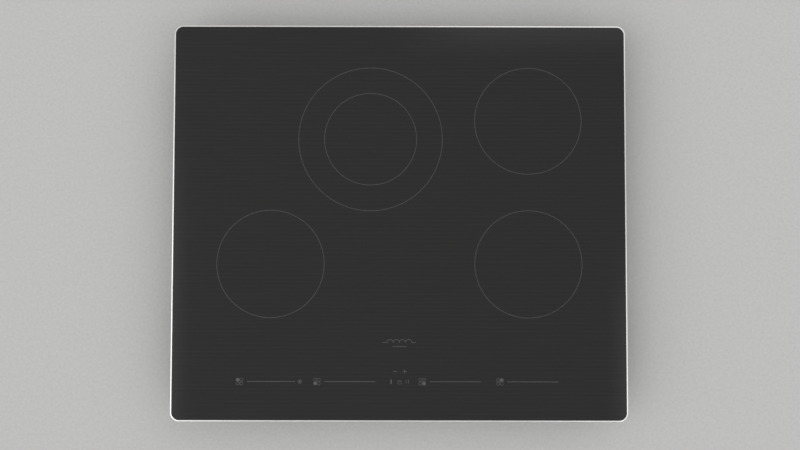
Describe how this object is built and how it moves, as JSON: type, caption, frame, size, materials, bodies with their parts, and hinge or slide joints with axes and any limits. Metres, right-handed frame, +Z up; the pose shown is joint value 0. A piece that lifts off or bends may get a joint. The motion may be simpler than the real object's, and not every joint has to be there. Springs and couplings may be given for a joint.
{
  "type": "induction cooktop",
  "caption": "Built-in glass-ceramic induction hob with a slim steel rim, printed zone rings, touch sliders, coils and fans in a steel tray, and swing-out worktop clamps.",
  "frame": {"origin": "centre of the rim's seat, in the plane of the gasket's underside, which is the worktop's top surface", "axes": "+Z up out of the worktop, +X to the right along the long side, +Y to the back; the touch controls are at the front, -Y"},
  "size_m": [0.59, 0.515, 0.0574],
  "materials": {
    "black_glass": "gloss",
    "rim_steel": "satin",
    "sealant": "matte",
    "gasket_foam": "matte",
    "enamel_print": "satin",
    "zinc_sheet": "satin",
    "plate_aluminium": "satin",
    "former_plastic": "matte",
    "copper_litz": "satin",
    "ferrite": "matte",
    "mica": "satin",
    "sensor_plastic": "matte",
    "spring_steel": "polished",
    "silicone_sleeve": "satin",
    "signal_wire": "satin",
    "mains_wire": "satin",
    "circuit_board": "satin",
    "heatsink_aluminium": "satin",
    "component_black": "satin",
    "capacitor_case": "satin",
    "choke_copper": "gloss",
    "spacer_nylon": "satin",
    "fan_plastic": "satin",
    "motor_steel": "satin",
    "shaft_steel": "polished",
    "spring_brass": "satin",
    "holder_plastic": "satin",
    "ribbon": "satin",
    "terminal_plastic": "satin",
    "terminal_brass": "satin",
    "gland_nylon": "satin",
    "zinc_clamp": "satin",
    "screw_steel": "satin"
  },
  "bodies": {
    "hob": {"glass_top": "black_glass", "trim_frame": "rim_steel", "glass_adhesive": "sealant", "worktop_gasket": "gasket_foam", "printed_markings": "enamel_print", "base_tray": "zinc_sheet", "coil_plate": "plate_aluminium", "coil_former_front_left": "former_plastic", "coil_former_rear_centre": "former_plastic", "coil_former_rear_right": "former_plastic", "coil_former_front_right": "former_plastic", "coil_winding_front_left": "copper_litz", "coil_winding_rear_inner": "copper_litz", "coil_winding_rear_outer": "copper_litz", "coil_winding_rear_right": "copper_litz", "coil_winding_front_right": "copper_litz", "ferrite_bars": "ferrite", "mica_sheets": "mica", "temperature_sensors": "sensor_plastic", "coil_springs": "spring_steel", "coil_leads": "silicone_sleeve", "signal_leads": "signal_wire", "mains_wires": "mains_wire", "power_board_left": "circuit_board", "power_board_right": "circuit_board", "heatsink_left": "heatsink_aluminium", "heatsink_right": "heatsink_aluminium", "power_transistors": "component_black", "film_capacitors": "capacitor_case", "filter_chokes": "choke_copper", "mains_filter_board": "circuit_board", "board_spacers": "spacer_nylon", "fan_scrolls": "fan_plastic", "fan_covers": "fan_plastic", "fan_motor_left": "motor_steel", "fan_motor_right": "motor_steel", "touch_board": "circuit_board", "touch_springs": "spring_brass", "led_displays": "component_black", "touch_board_holder": "holder_plastic", "ribbon_cable": "ribbon", "terminal_block": "terminal_plastic", "terminal_screws": "terminal_brass", "terminal_cover": "zinc_sheet", "cable_gland": "gland_nylon", "clamp_screws": "screw_steel", "tray_screws": "screw_steel", "inner_screws": "screw_steel"},
    "fan_rotor_left": {"fan_impeller_left": "fan_plastic", "fan_shaft_left": "shaft_steel"},
    "fan_rotor_right": {"fan_impeller_right": "fan_plastic", "fan_shaft_right": "shaft_steel"},
    "clamp_nut_front_left": {"clamp_nut_front_left": "zinc_clamp"},
    "clamp_arm_front_left": {"clamp_arm_front_left": "zinc_clamp"},
    "clamp_nut_front_right": {"clamp_nut_front_right": "zinc_clamp"},
    "clamp_arm_front_right": {"clamp_arm_front_right": "zinc_clamp"},
    "clamp_nut_rear_left": {"clamp_nut_rear_left": "zinc_clamp"},
    "clamp_arm_rear_left": {"clamp_arm_rear_left": "zinc_clamp"},
    "clamp_nut_rear_right": {"clamp_nut_rear_right": "zinc_clamp"},
    "clamp_arm_rear_right": {"clamp_arm_rear_right": "zinc_clamp"}
  },
  "joints": [
    {"name": "fan_left_spin", "type": "hinge", "parent": "hob", "child": "fan_rotor_left", "pos_m": [-0.19, 0.165, -0.03], "axis": [0, 0, 1], "continuous": true},
    {"name": "fan_right_spin", "type": "hinge", "parent": "hob", "child": "fan_rotor_right", "pos_m": [0.19, 0.165, -0.03], "axis": [0, 0, 1], "continuous": true},
    {"name": "clamp_front_left_lift", "type": "slide", "parent": "hob", "child": "clamp_nut_front_left", "axis": [0, 0, 1], "range_m": [0, 0.02]},
    {"name": "clamp_front_left_swing", "type": "hinge", "parent": "clamp_nut_front_left", "child": "clamp_arm_front_left", "pos_m": [-0.269, -0.168, -0.0425], "axis": [0, 0, 1], "range_deg": [0, 90]},
    {"name": "clamp_front_right_lift", "type": "slide", "parent": "hob", "child": "clamp_nut_front_right", "axis": [0, 0, 1], "range_m": [0, 0.02]},
    {"name": "clamp_front_right_swing", "type": "hinge", "parent": "clamp_nut_front_right", "child": "clamp_arm_front_right", "pos_m": [0.269, -0.168, -0.0425], "axis": [0, 0, -1], "range_deg": [0, 90]},
    {"name": "clamp_rear_left_lift", "type": "slide", "parent": "hob", "child": "clamp_nut_rear_left", "axis": [0, 0, 1], "range_m": [0, 0.02]},
    {"name": "clamp_rear_left_swing", "type": "hinge", "parent": "clamp_nut_rear_left", "child": "clamp_arm_rear_left", "pos_m": [-0.269, 0.168, -0.0425], "axis": [0, 0, -1], "range_deg": [0, 90]},
    {"name": "clamp_rear_right_lift", "type": "slide", "parent": "hob", "child": "clamp_nut_rear_right", "axis": [0, 0, 1], "range_m": [0, 0.02]},
    {"name": "clamp_rear_right_swing", "type": "hinge", "parent": "clamp_nut_rear_right", "child": "clamp_arm_rear_right", "pos_m": [0.269, 0.168, -0.0425], "axis": [0, 0, 1], "range_deg": [0, 90]}
  ]
}
